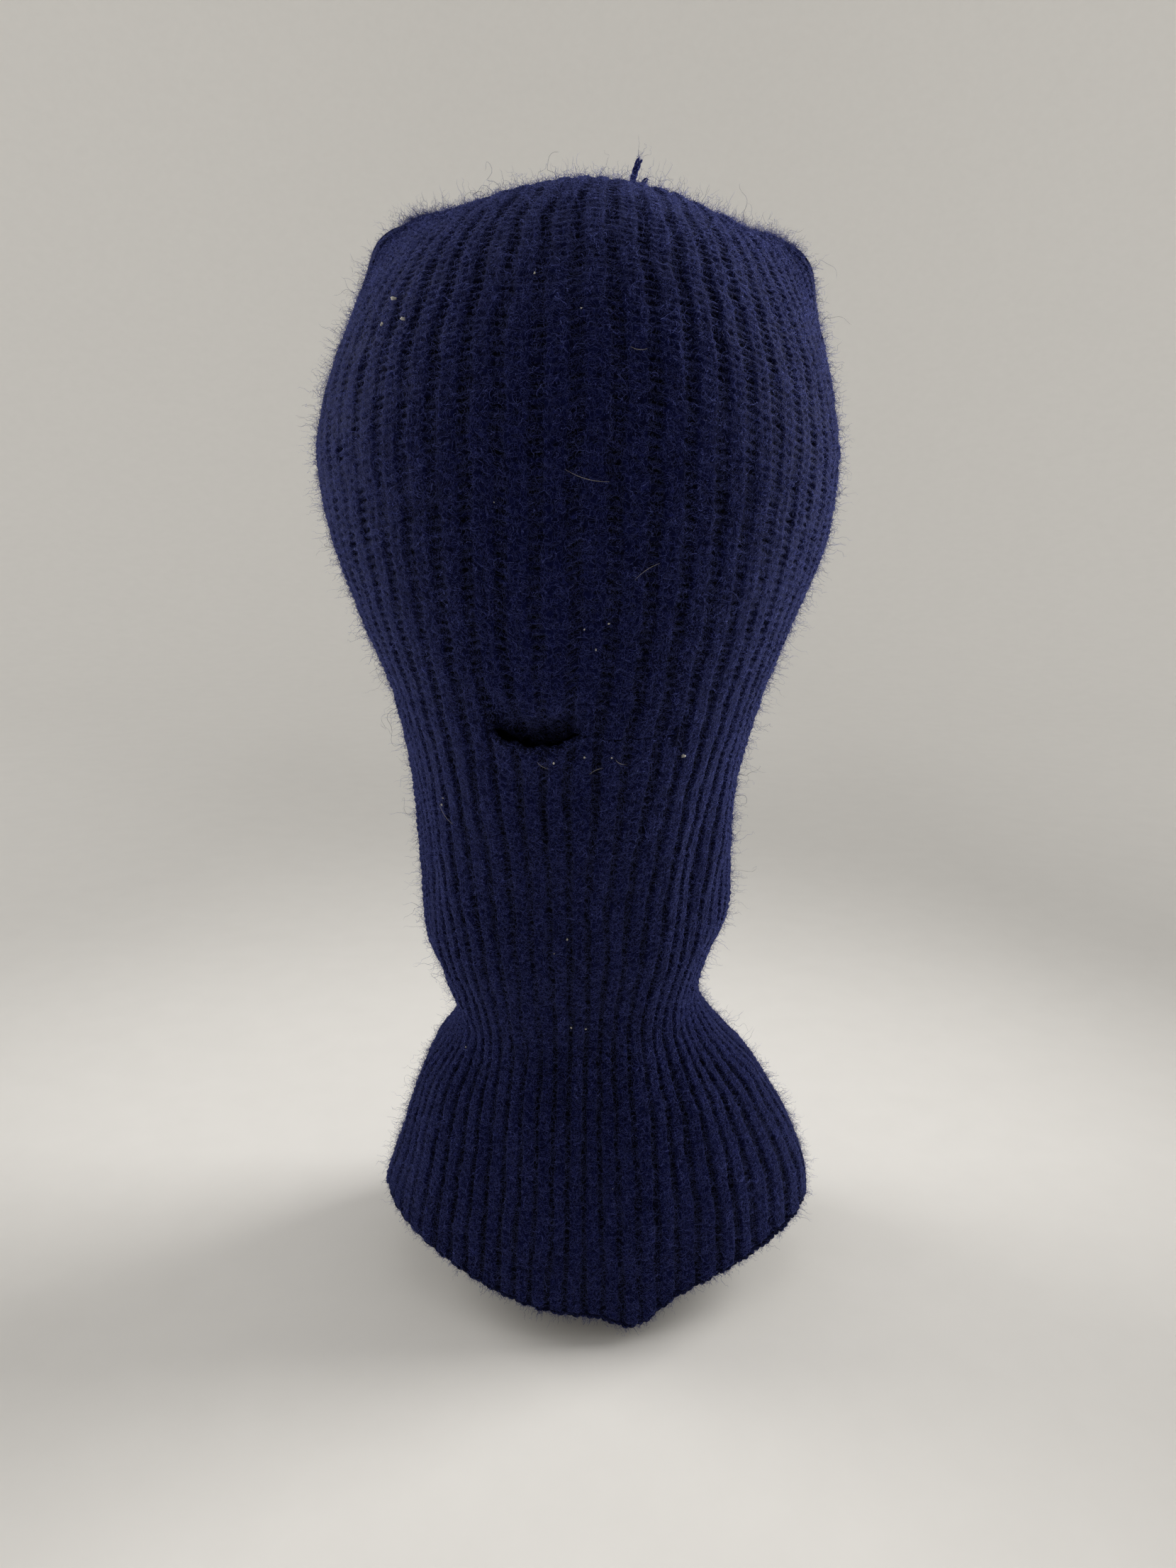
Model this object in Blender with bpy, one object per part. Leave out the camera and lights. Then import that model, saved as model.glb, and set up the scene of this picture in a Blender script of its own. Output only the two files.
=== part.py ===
"""Knitted one-hole balaclava, in the shape it takes on a slim head form.

Metres, +Z up, the face towards -Y. The origin is where the top of the head touches the inside of
the crown. Two rib-knit panels are linked along both sides and across the gabled crown, which leaves
a blunt corner, or ear, at each end of the crown seam. The front panel has one slit, and a bib
flares below the neck to a wavy hem.
"""

import math

import bmesh
import bpy
from mathutils import Vector

# Fabric and yarn
FABRIC = 0.003
SEAM_RADIUS = 0.00135
EDGE_RADIUS = 0.0013
HEM_RADIUS = 0.0016
TAIL_RADIUS = 0.0009
CLEARANCE = 0.0004
SEAM_HALF = SEAM_RADIUS + CLEARANCE

# Crown: a gable whose ridge runs from ear to ear through the apex
APEX = Vector((0.004, 0.0, FABRIC))
EAR_LEFT = Vector((-0.0565, 0.0, -0.007))
EAR_RIGHT = Vector((0.067, 0.0, -0.0115))
APEX_ROUNDING = 0.09
SHOULDER = -0.075
FRONT_ROUNDING = 2.05
SIDE_ROUNDING = 1.38

# Sections below the shoulder: height, then reach to the left, right, front and back
SECTIONS = (
    (-0.075, 0.0800, 0.0795, 0.0930, 0.0970),
    (-0.097, 0.0770, 0.0775, 0.0915, 0.0940),
    (-0.122, 0.0690, 0.0695, 0.0870, 0.0860),
    (-0.146, 0.0595, 0.0605, 0.0805, 0.0750),
    (-0.176, 0.0530, 0.0540, 0.0710, 0.0640),
    (-0.202, 0.0510, 0.0535, 0.0620, 0.0575),
    (-0.226, 0.0495, 0.0520, 0.0555, 0.0525),
    (-0.249, 0.0440, 0.0440, 0.0480, 0.0480),
    (-0.262, 0.0395, 0.0480, 0.0470, 0.0475),
    (-0.281, 0.0515, 0.0650, 0.0500, 0.0500),
    (-0.308, 0.0605, 0.0810, 0.0530, 0.0525),
    (-0.328, 0.0665, 0.0865, 0.0555, 0.0540),
    (-0.352, 0.0675, 0.0875, 0.0575, 0.0560),
)
SECTION_SQUARENESS = 2.1

# Hem: its height at the sides, and how much lower it hangs in front, behind and at the point in front
HEM_SIDE = -0.3255
HEM_FRONT_DROP = 0.019
HEM_FRONT_SHARPNESS = 2.4
HEM_BACK_DROP = 0.009
HEM_LOWEST_ANGLE = math.radians(8)
HEM_POINT_DROP = 0.006
HEM_POINT_ANGLE = math.radians(23)
HEM_POINT_WIDTH = math.radians(9)

# Slit: it gapes between its left end and its middle, and its lips meet from there to its right end
SLIT_HEIGHT = -0.150
SLIT_LEFT = math.radians(-18)
SLIT_RIGHT = math.radians(22.5)
SLIT_GAPE_END = 0.52
LIP_RISE = 0.002
LIP_SAG = 0.0045
LIP_CENTRE = EDGE_RADIUS + CLEARANCE / 2
LIP_CUT = LIP_CENTRE + EDGE_RADIUS + CLEARANCE

# Yarn tail: it stands up from the right half of the crown seam
TAIL_X = 0.0146
TAIL_LENGTH = 0.0115
TAIL_LEAN = 0.0022
TAIL_BEND = 1.5
TAIL_POINTS = 8

# Mesh resolution
COLUMNS = 40
CROWN_ROWS = 6
HOOD_ROWS = 7
LOWER_ROWS = 12
SEAM_POINTS = 34
RIDGE_POINTS = 16

LEFT, RIGHT = -math.pi / 2, math.pi / 2
FRONT, BACK = -1, 1

NAVY = (0.018, 0.022, 0.115, 1.0)
DARK_NAVY = (0.013, 0.015, 0.085, 1.0)


def clear_scene():
    for obj in list(bpy.data.objects):
        bpy.data.objects.remove(obj, do_unlink=True)


def make_material(name, colour, roughness):
    material = bpy.data.materials.new(name)
    material.use_nodes = True
    material.diffuse_color = colour
    shader = material.node_tree.nodes["Principled BSDF"]
    shader.inputs["Base Color"].default_value = colour
    shader.inputs["Roughness"].default_value = roughness
    shader.inputs["Metallic"].default_value = 0.0
    return material


def reaches(height):
    """Reach to the left, right, front and back at a height: a Catmull-Rom curve through SECTIONS."""
    last = len(SECTIONS) - 2
    place = 0
    while place < last and height < SECTIONS[place + 1][0]:
        place += 1
    before = SECTIONS[max(place - 1, 0)]
    above, below = SECTIONS[place], SECTIONS[place + 1]
    after = SECTIONS[min(place + 2, last + 1)]
    t = (height - above[0]) / (below[0] - above[0])
    return [
        0.5 * (2 * b + (c - a) * t + (2 * a - 5 * b + 4 * c - d) * t**2 + (3 * b - a - 3 * c + d) * t**3)
        for a, b, c, d in zip(before[1:], above[1:], below[1:], after[1:])
    ]


def section_point(angle, face, height, inset):
    """A point of the tube, with the angle measured from the middle of the panel on that face."""
    left, right, front, back = reaches(height)
    side = (right if angle > 0 else left) - inset
    depth = (front if face == FRONT else back) - inset - SEAM_HALF
    across = abs(math.sin(angle)) / side
    along = abs(math.cos(angle)) / depth
    radius = (across**SECTION_SQUARENESS + along**SECTION_SQUARENESS) ** (-1 / SECTION_SQUARENESS)
    out = SEAM_HALF + max(radius * math.cos(angle), 0.0)
    return Vector((radius * math.sin(angle), face * out, height))


def ridge_point(angle, face, inset):
    """The crown's ridge, from the left ear over the rounded apex to the right ear."""
    part = angle / RIGHT
    ear = EAR_RIGHT if part > 0 else EAR_LEFT
    drop = math.hypot(part, APEX_ROUNDING) - APEX_ROUNDING
    drop /= math.hypot(1, APEX_ROUNDING) - APEX_ROUNDING
    x = APEX.x + (ear.x - APEX.x) * abs(part)
    z = APEX.z + (ear.z - APEX.z) * drop
    return Vector((x * (1 - inset / abs(ear.x)), face * SEAM_HALF, z - inset))


def crown_point(angle, face, part, inset):
    """A point of the crown: part is 0 on the ridge and 1 at the shoulder."""
    foot = section_point(angle, face, SHOULDER, inset)
    top = ridge_point(angle, face, inset)
    rounding = SIDE_ROUNDING + (FRONT_ROUNDING - SIDE_ROUNDING) * math.cos(angle) ** 2
    turn = part * math.pi / 2
    outward = math.sin(turn) ** (2 / rounding)
    upward = max(math.cos(turn), 0.0) ** (2 / rounding)
    return Vector((
        top.x + (foot.x - top.x) * outward,
        top.y + (foot.y - top.y) * outward,
        foot.z + (top.z - foot.z) * upward,
    ))


def hem_height(angle, face):
    if face == BACK:
        return HEM_SIDE - HEM_BACK_DROP * math.cos(angle) ** 2
    droop = max(math.cos(angle - HEM_LOWEST_ANGLE), 0.0) ** HEM_FRONT_SHARPNESS
    point = math.exp(-(((angle - HEM_POINT_ANGLE) / HEM_POINT_WIDTH) ** 2))
    return HEM_SIDE - HEM_FRONT_DROP * droop - HEM_POINT_DROP * point


def gape(angle):
    """How far the slit stands open at this angle, from 0 to 1."""
    part = (angle - SLIT_LEFT) / (SLIT_RIGHT - SLIT_LEFT) / SLIT_GAPE_END
    return math.sin(math.pi * part) ** 2 if 0 < part < 1 else 0.0


def upper_lip(angle, offset):
    return SLIT_HEIGHT + offset + LIP_RISE * gape(angle)


def lower_lip(angle, offset):
    return SLIT_HEIGHT - offset - LIP_SAG * gape(angle)


def panel_rows(face, inset):
    """The panel's points in rows from the ridge to the hem, and the row above the slit."""
    angles = [LEFT + (RIGHT - LEFT) * i / COLUMNS for i in range(COLUMNS + 1)]
    rows = []
    for i in range(CROWN_ROWS):
        rows.append([crown_point(a, face, i / CROWN_ROWS, inset) for a in angles])
    for i in range(HOOD_ROWS + 1):
        part = i / HOOD_ROWS
        rows.append([
            section_point(a, face, SHOULDER + (upper_lip(a, LIP_CUT) - SHOULDER) * part, inset)
            for a in angles
        ])
    above_slit = len(rows) - 1
    for i in range(LOWER_ROWS + 1):
        part = i / LOWER_ROWS
        row = []
        for a in angles:
            top = lower_lip(a, LIP_CUT)
            row.append(section_point(a, face, top + (hem_height(a, face) - top) * part, inset))
        rows.append(row)
    return angles, rows, above_slit


def make_panel(name, face, material):
    """A closed shell of the fabric's thickness, left open inside the slit on the front."""
    bm = bmesh.new()
    angles, outer_rows, above_slit = panel_rows(face, 0.0)
    _, inner_rows, _ = panel_rows(face, FABRIC)
    outer = [[bm.verts.new(point) for point in row] for row in outer_rows]
    inner = [[bm.verts.new(point) for point in row] for row in inner_rows]
    partner = {a: b for over, under in zip(outer, inner) for a, b in zip(over, under)}
    for i in range(len(outer) - 1):
        for j in range(COLUMNS):
            middle = (angles[j] + angles[j + 1]) / 2
            in_slit = face == FRONT and i == above_slit and SLIT_LEFT < middle < SLIT_RIGHT
            if not in_slit:
                bm.faces.new((outer[i][j], outer[i][j + 1], outer[i + 1][j + 1], outer[i + 1][j]))
                bm.faces.new((inner[i][j], inner[i + 1][j], inner[i + 1][j + 1], inner[i][j + 1]))
    for edge in [edge for edge in bm.edges if edge.is_boundary and edge.verts[0] in partner]:
        first, second = edge.verts
        bm.faces.new((first, second, partner[second], partner[first]))
    bmesh.ops.recalc_face_normals(bm, faces=bm.faces)
    mesh = bpy.data.meshes.new(name)
    bm.to_mesh(mesh)
    bm.free()
    mesh.materials.append(material)
    mesh.shade_smooth()
    mesh.set_sharp_from_angle(angle=math.radians(50))
    panel = bpy.data.objects.new(name, mesh)
    bpy.context.collection.objects.link(panel)
    return panel


def make_tube(name, points, radius, material):
    """A round yarn edge or seam along the points, with flat ends."""
    curve = bpy.data.curves.new(name, "CURVE")
    curve.dimensions = "3D"
    curve.bevel_depth = radius
    curve.bevel_resolution = 1
    curve.use_fill_caps = True
    spline = curve.splines.new("POLY")
    spline.points.add(len(points) - 1)
    for target, point in zip(spline.points, points):
        target.co = (*point, 1.0)
    curve.materials.append(material)
    tube = bpy.data.objects.new(name, curve)
    bpy.context.collection.objects.link(tube)
    return tube


def centred(point):
    """The same point moved onto the seam's plane, midway between the panels."""
    return Vector((point.x, 0.0, point.z))


def trimmed(points, start, end):
    """The polyline with this much length taken off its two ends."""
    points = list(points)
    for length in (start, end):
        while len(points) > 2 and (points[1] - points[0]).length <= length:
            length -= (points[1] - points[0]).length
            points.pop(0)
        points[0] = points[0].lerp(points[1], length / (points[1] - points[0]).length)
        points.reverse()
    return points


def side_seam(angle):
    """The seam's line from the ear to the hem, halfway through the fabric."""
    depth = FABRIC / 2
    points = [crown_point(angle, FRONT, i / RIDGE_POINTS, depth) for i in range(RIDGE_POINTS)]
    foot = hem_height(angle, FRONT)
    for i in range(SEAM_POINTS + 1):
        height = SHOULDER + (foot - SHOULDER) * i / SEAM_POINTS
        points.append(section_point(angle, FRONT, height, depth))
    corner = 2 * SEAM_RADIUS + CLEARANCE
    return trimmed([centred(point) for point in points], corner, CLEARANCE)


def crown_seam(angle):
    """The seam's line from the ear to the apex, halfway through the fabric."""
    points = [ridge_point(angle * (1 - i / RIDGE_POINTS), FRONT, FABRIC / 2) for i in range(RIDGE_POINTS + 1)]
    return trimmed([centred(point) for point in points], 0.0, CLEARANCE / 2)


def hem_edge(face):
    """The hem's line from side to side, just under the panel's lower edge."""
    points = []
    for i in range(COLUMNS + 1):
        angle = LEFT + (RIGHT - LEFT) * i / COLUMNS
        below = hem_height(angle, face) - HEM_RADIUS - CLEARANCE
        points.append(section_point(angle, face, below, FABRIC / 2))
    for end in (0, -1):
        points[end].y = face * CLEARANCE / 2
    return points


def lip_edge(lip):
    """The line of a lip, between the tacks at the slit's ends."""
    steps = round((SLIT_RIGHT - SLIT_LEFT) / (math.pi / COLUMNS))
    points = []
    for i in range(steps + 1):
        angle = SLIT_LEFT + (SLIT_RIGHT - SLIT_LEFT) * i / steps
        points.append(section_point(angle, FRONT, lip(angle, LIP_CENTRE), FABRIC / 2))
    end = 2 * (EDGE_RADIUS + CLEARANCE)
    return trimmed(points, end, end)


def slit_tack(angle, inward):
    """The short bar of stitches that closes one end of the slit."""
    reach = LIP_CENTRE + EDGE_RADIUS
    end = section_point(angle, FRONT, SLIT_HEIGHT, FABRIC / 2)
    shift = inward * (EDGE_RADIUS + CLEARANCE) / math.hypot(end.x, end.y)
    return [
        section_point(angle + shift, FRONT, SLIT_HEIGHT + reach * part, FABRIC / 2)
        for part in (1, 0.33, -0.33, -1)
    ]


def yarn_tail():
    """The loose end of the crown seam's yarn, standing up out of the seam with a slight bend."""
    part = (TAIL_X - APEX.x) / (EAR_RIGHT.x - APEX.x)
    foot = centred(ridge_point(part * RIGHT, FRONT, FABRIC / 2))
    foot.z += SEAM_RADIUS + CLEARANCE
    points = []
    for i in range(TAIL_POINTS + 1):
        part = i / TAIL_POINTS
        points.append(foot + Vector((TAIL_LEAN * math.sin(TAIL_BEND * part), 0.0, TAIL_LENGTH * part)))
    return points


def main():
    clear_scene()
    make_panel("front_panel", FRONT, make_material("front_panel_knit", NAVY, 0.9))
    make_panel("back_panel", BACK, make_material("back_panel_knit", NAVY, 0.9))
    tubes = (
        ("crown_seam_left", crown_seam(LEFT), SEAM_RADIUS),
        ("crown_seam_right", crown_seam(RIGHT), SEAM_RADIUS),
        ("side_seam_left", side_seam(LEFT), SEAM_RADIUS),
        ("side_seam_right", side_seam(RIGHT), SEAM_RADIUS),
        ("crown_yarn_tail", yarn_tail(), TAIL_RADIUS),
        ("slit_upper_edge", lip_edge(upper_lip), EDGE_RADIUS),
        ("slit_lower_edge", lip_edge(lower_lip), EDGE_RADIUS),
        ("slit_tack_left", slit_tack(SLIT_LEFT, 1), EDGE_RADIUS),
        ("slit_tack_right", slit_tack(SLIT_RIGHT, -1), EDGE_RADIUS),
        ("hem_edge_front", hem_edge(FRONT), HEM_RADIUS),
        ("hem_edge_back", hem_edge(BACK), HEM_RADIUS),
    )
    for name, points, radius in tubes:
        make_tube(name, points, radius, make_material(name + "_yarn", DARK_NAVY, 0.85))


main()
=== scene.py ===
import math

import bmesh
import bpy
import numpy as np
from mathutils import Matrix, Vector


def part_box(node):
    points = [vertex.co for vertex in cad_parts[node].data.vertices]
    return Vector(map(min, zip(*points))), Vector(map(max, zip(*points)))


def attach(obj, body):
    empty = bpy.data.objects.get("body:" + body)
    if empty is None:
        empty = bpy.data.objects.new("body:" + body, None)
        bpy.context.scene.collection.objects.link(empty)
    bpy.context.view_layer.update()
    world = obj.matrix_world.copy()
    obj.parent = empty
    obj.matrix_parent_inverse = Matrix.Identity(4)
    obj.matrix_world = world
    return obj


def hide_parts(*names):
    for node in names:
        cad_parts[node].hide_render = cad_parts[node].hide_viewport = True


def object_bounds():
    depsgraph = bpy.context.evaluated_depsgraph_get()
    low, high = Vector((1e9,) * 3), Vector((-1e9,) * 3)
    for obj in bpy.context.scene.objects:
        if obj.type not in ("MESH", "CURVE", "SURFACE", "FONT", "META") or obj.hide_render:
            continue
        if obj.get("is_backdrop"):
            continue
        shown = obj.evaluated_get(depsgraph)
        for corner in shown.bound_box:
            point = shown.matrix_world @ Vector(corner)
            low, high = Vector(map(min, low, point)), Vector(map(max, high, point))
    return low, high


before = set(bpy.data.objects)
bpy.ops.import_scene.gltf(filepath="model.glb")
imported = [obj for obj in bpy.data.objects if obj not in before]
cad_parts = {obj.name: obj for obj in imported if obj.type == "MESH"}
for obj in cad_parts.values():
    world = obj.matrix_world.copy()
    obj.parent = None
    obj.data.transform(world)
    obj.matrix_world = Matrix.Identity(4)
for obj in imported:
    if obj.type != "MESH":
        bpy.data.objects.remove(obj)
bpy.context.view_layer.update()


# ---------------- camera

CAMERA_PLACE = (0.00446, -0.386, -0.0845)
CAMERA_TILT = math.radians(75.9)
CAMERA_ROLL = 0.015
SENSOR_MM = 36.0
LENS_MM = 27.03


def make_camera():
    data = bpy.data.cameras.new("camera")
    data.sensor_width = SENSOR_MM
    data.lens = LENS_MM
    data.clip_start = 0.01
    camera = bpy.data.objects.new("camera", data)
    bpy.context.scene.collection.objects.link(camera)
    camera.matrix_world = (
        Matrix.Translation(CAMERA_PLACE)
        @ Matrix.Rotation(CAMERA_TILT, 4, "X")
        @ Matrix.Rotation(CAMERA_ROLL, 4, "Z")
    )
    bpy.context.scene.camera = camera


make_camera()

# ---------------- the CAD's shape, repeated in metres

FABRIC = 0.003
SEAM_RADIUS = 0.00135
HEM_RADIUS = 0.0016
CLEARANCE = 0.0004
SEAM_HALF = SEAM_RADIUS + CLEARANCE
APEX = (0.004, FABRIC)
EAR_LEFT = (-0.0565, -0.007)
EAR_RIGHT = (0.067, -0.0115)
APEX_ROUNDING = 0.09
SHOULDER = -0.075
FRONT_ROUNDING = 2.05
SIDE_ROUNDING = 1.38
SECTIONS = np.array((
    (-0.075, 0.0800, 0.0795, 0.0930, 0.0970),
    (-0.097, 0.0770, 0.0775, 0.0915, 0.0940),
    (-0.122, 0.0690, 0.0695, 0.0870, 0.0860),
    (-0.146, 0.0595, 0.0605, 0.0805, 0.0750),
    (-0.176, 0.0530, 0.0540, 0.0710, 0.0640),
    (-0.202, 0.0510, 0.0535, 0.0620, 0.0575),
    (-0.226, 0.0495, 0.0520, 0.0555, 0.0525),
    (-0.249, 0.0440, 0.0440, 0.0480, 0.0480),
    (-0.262, 0.0395, 0.0480, 0.0470, 0.0475),
    (-0.281, 0.0515, 0.0650, 0.0500, 0.0500),
    (-0.308, 0.0605, 0.0810, 0.0530, 0.0525),
    (-0.328, 0.0665, 0.0865, 0.0555, 0.0540),
    (-0.352, 0.0675, 0.0875, 0.0575, 0.0560),
))
SQUARENESS = 2.1
HEM_SIDE = -0.3255
SLIT_HEIGHT = -0.150
SLIT_LEFT = math.radians(-18)
SLIT_RIGHT = math.radians(22.5)
SLIT_GAPE = (0.03, 0.49)
LIP_RISE = 0.0014
LIP_SAG = 0.0030
TAIL_X = 0.0146
TAIL_LENGTH = 0.0115
RIGHT = math.pi / 2
FRONT, BACK = -1, 1


def reaches(height):
    """Reach to the left, right, front and back at each height: a Catmull-Rom curve through SECTIONS."""
    last = len(SECTIONS) - 2
    place = np.clip(np.searchsorted(-SECTIONS[:, 0], -height, side="right") - 1, 0, last)
    a = SECTIONS[np.maximum(place - 1, 0)]
    b, c = SECTIONS[place], SECTIONS[place + 1]
    d = SECTIONS[np.minimum(place + 2, last + 1)]
    t = ((height - b[..., 0]) / (c[..., 0] - b[..., 0]))[..., None]
    square, cube = 2 * a - 5 * b + 4 * c - d, 3 * b - a - 3 * c + d
    curve = 0.5 * (2 * b + (c - a) * t + square * t**2 + cube * t**3)
    return [curve[..., i] for i in (1, 2, 3, 4)]


def section_point(angle, face, height, inset):
    """A point of the tube; the angle is measured from the middle of the panel on that face."""
    angle, height = np.broadcast_arrays(np.asarray(angle, float), np.asarray(height, float))
    left, right, front, back = reaches(height)
    side = np.where(angle > 0, right, left) - inset
    depth = (front if face == FRONT else back) - inset - SEAM_HALF
    radius = (
        (np.abs(np.sin(angle)) / side) ** SQUARENESS + (np.abs(np.cos(angle)) / depth) ** SQUARENESS
    ) ** (-1 / SQUARENESS)
    out = SEAM_HALF + np.maximum(radius * np.cos(angle), 0.0)
    return np.stack((radius * np.sin(angle), face * out, height), -1)


def ridge_point(angle, face, inset):
    """The crown's ridge, from the left ear over the rounded apex to the right ear."""
    part = np.asarray(angle, float) / RIGHT
    ear_x = np.where(part > 0, EAR_RIGHT[0], EAR_LEFT[0])
    ear_z = np.where(part > 0, EAR_RIGHT[1], EAR_LEFT[1])
    drop = np.hypot(part, APEX_ROUNDING) - APEX_ROUNDING
    drop = drop / (math.hypot(1, APEX_ROUNDING) - APEX_ROUNDING)
    x = (APEX[0] + (ear_x - APEX[0]) * np.abs(part)) * (1 - inset / np.abs(ear_x))
    z = APEX[1] + (ear_z - APEX[1]) * drop - inset
    return np.stack((x, np.full_like(x, face * SEAM_HALF), z), -1)


def crown_point(angle, face, part, inset):
    """A point of the crown: part is 0 on the ridge and 1 at the shoulder."""
    foot = section_point(angle, face, SHOULDER, inset)
    top = ridge_point(angle, face, inset)
    rounding = SIDE_ROUNDING + (FRONT_ROUNDING - SIDE_ROUNDING) * np.cos(angle) ** 2
    turn = part * math.pi / 2
    outward = np.sin(turn) ** (2 / rounding)
    upward = np.maximum(np.cos(turn), 0.0) ** (2 / rounding)
    flat = top[..., :2] + (foot[..., :2] - top[..., :2]) * outward[..., None]
    height = foot[..., 2] + (top[..., 2] - foot[..., 2]) * upward
    return np.concatenate((flat, height[..., None]), -1)


def hem_height(angle, face):
    """The hem's height: level at the sides, lower at the back, and lowest at a point in front."""
    if face == BACK:
        return HEM_SIDE - 0.009 * np.cos(angle) ** 2
    droop = np.maximum(np.cos(angle - math.radians(8)), 0.0) ** 2.4
    point = np.exp(-(((angle - math.radians(23)) / math.radians(9)) ** 2))
    return HEM_SIDE - 0.019 * droop - 0.006 * point


def gape(angle):
    """How far the slit stands open at this angle, and how near the open part is, both from 0 to 1."""
    part = (angle - SLIT_LEFT) / (SLIT_RIGHT - SLIT_LEFT)
    part = (part - SLIT_GAPE[0]) / (SLIT_GAPE[1] - SLIT_GAPE[0])
    near = np.exp(-((np.maximum(np.abs(part - 0.5) - 0.5, 0) / 0.2) ** 2))
    return np.where((part > 0) & (part < 1), np.abs(np.sin(math.pi * part)) ** 0.8, 0.0), near


def blunt(points):
    """Both ears rounded, as wool is at a corner."""
    out = np.array(points, float)
    for (x, z), inward in ((EAR_LEFT, (0.72, -0.69)), (EAR_RIGHT, (-0.72, -0.69))):
        away = np.hypot(points[..., 0] - x, points[..., 2] - z)
        pull = 0.0024 * np.clip(1 - away / 0.0088, 0, 1) ** 2
        pull = pull - 0.0009 * np.exp(-(((away - 0.0105) / 0.0055) ** 2))
        out[..., 0] += inward[0] * pull
        out[..., 2] += inward[1] * pull
    return out


def check_shape():
    """The shape above repeats the CAD's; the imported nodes' boxes say whether it still fits."""
    turns = np.linspace(-RIGHT, RIGHT, 181)
    for node, face in (("front_panel", FRONT), ("back_panel", BACK)):
        low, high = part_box(node)
        widest = section_point(turns, face, SHOULDER, 0.0)
        hem = section_point(turns, face, hem_height(turns, face), 0.0)
        for said, found in (
            (high[0], max(widest[:, 0].max(), hem[:, 0].max())),
            (low[0], min(widest[:, 0].min(), hem[:, 0].min())),
            (high[2], APEX[1]),
            (low[2], hem[:, 2].min()),
        ):
            if abs(said - found) > 0.0015:
                raise ValueError(f"{node} in the frame is not the shape that this script covers")


check_shape()

# ---------------- mesh helpers


def noise(shape, cells, seed):
    """Smooth noise from about -0.6 to 0.6 over a grid: a cubic B-spline through random values."""
    values = np.random.default_rng(seed).uniform(-1, 1, (cells[0] + 3, cells[1] + 3))

    def spline(count, spans):
        x = np.linspace(0, spans, count)
        i = np.minimum(x.astype(int), spans - 1)
        t = x - i
        w = ((1 - t) ** 3, 3 * t**3 - 6 * t**2 + 4, -3 * t**3 + 3 * t**2 + 3 * t + 1, t**3)
        return i, [part / 6 for part in w]

    i, w = spline(shape[0], cells[0])
    rows = sum(w[k][:, None] * values[i + k] for k in range(4))
    i, w = spline(shape[1], cells[1])
    return sum(w[k] * rows[:, i + k] for k in range(4))


def smoothstep(x, start, end):
    """From 0 at start to 1 at end, level at both."""
    t = np.clip((x - start) / (end - start), 0, 1)
    return t * t * (3 - 2 * t)


def unit(v):
    """The vectors along the last axis, each at length 1."""
    return v / np.maximum(np.linalg.norm(v, axis=-1, keepdims=True), 1e-12)


def make_piece(name, verts, faces, material, slot, replaces=(), attributes=None):
    """A mesh piece riding on the root. faces is a list of arrays, one for each number of corners."""
    mesh = bpy.data.meshes.new(name)
    mesh.vertices.add(len(verts))
    mesh.vertices.foreach_set("co", np.asarray(verts, np.float32).ravel())
    corners = np.concatenate([f.ravel() for f in faces]).astype(np.int32)
    sizes = np.concatenate([np.full(len(f), f.shape[1]) for f in faces])
    mesh.loops.add(len(corners))
    mesh.loops.foreach_set("vertex_index", corners)
    mesh.polygons.add(len(sizes))
    mesh.polygons.foreach_set("loop_start", (np.cumsum(sizes) - sizes).astype(np.int32))
    mesh.update(calc_edges=True)
    mesh.shade_smooth()
    for key, values in (attributes or {}).items():
        mesh.attributes.new(key, "FLOAT", "POINT").data.foreach_set("value", values.astype(np.float32))
    mesh.materials.append(material)
    piece = bpy.data.objects.new(name, mesh)
    bpy.context.scene.collection.objects.link(piece)
    if replaces:
        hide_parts(*replaces)
    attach(piece, "root")
    return piece


def joined(parts):
    """Several meshes as one: each part is its vertices and then its arrays of faces."""
    verts, kinds, count = [], [], 0
    for points, *faces in parts:
        verts.append(points)
        kinds.append([f + count for f in faces])
        count += len(points)
    return np.concatenate(verts), [np.concatenate(kind) for kind in zip(*kinds)]


# ---------------- materials

SHEEN_ROUGHNESS = 0.35
SHEEN_TINT = (0.24, 0.29, 0.80)
SPECULAR = 0.05


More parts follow.
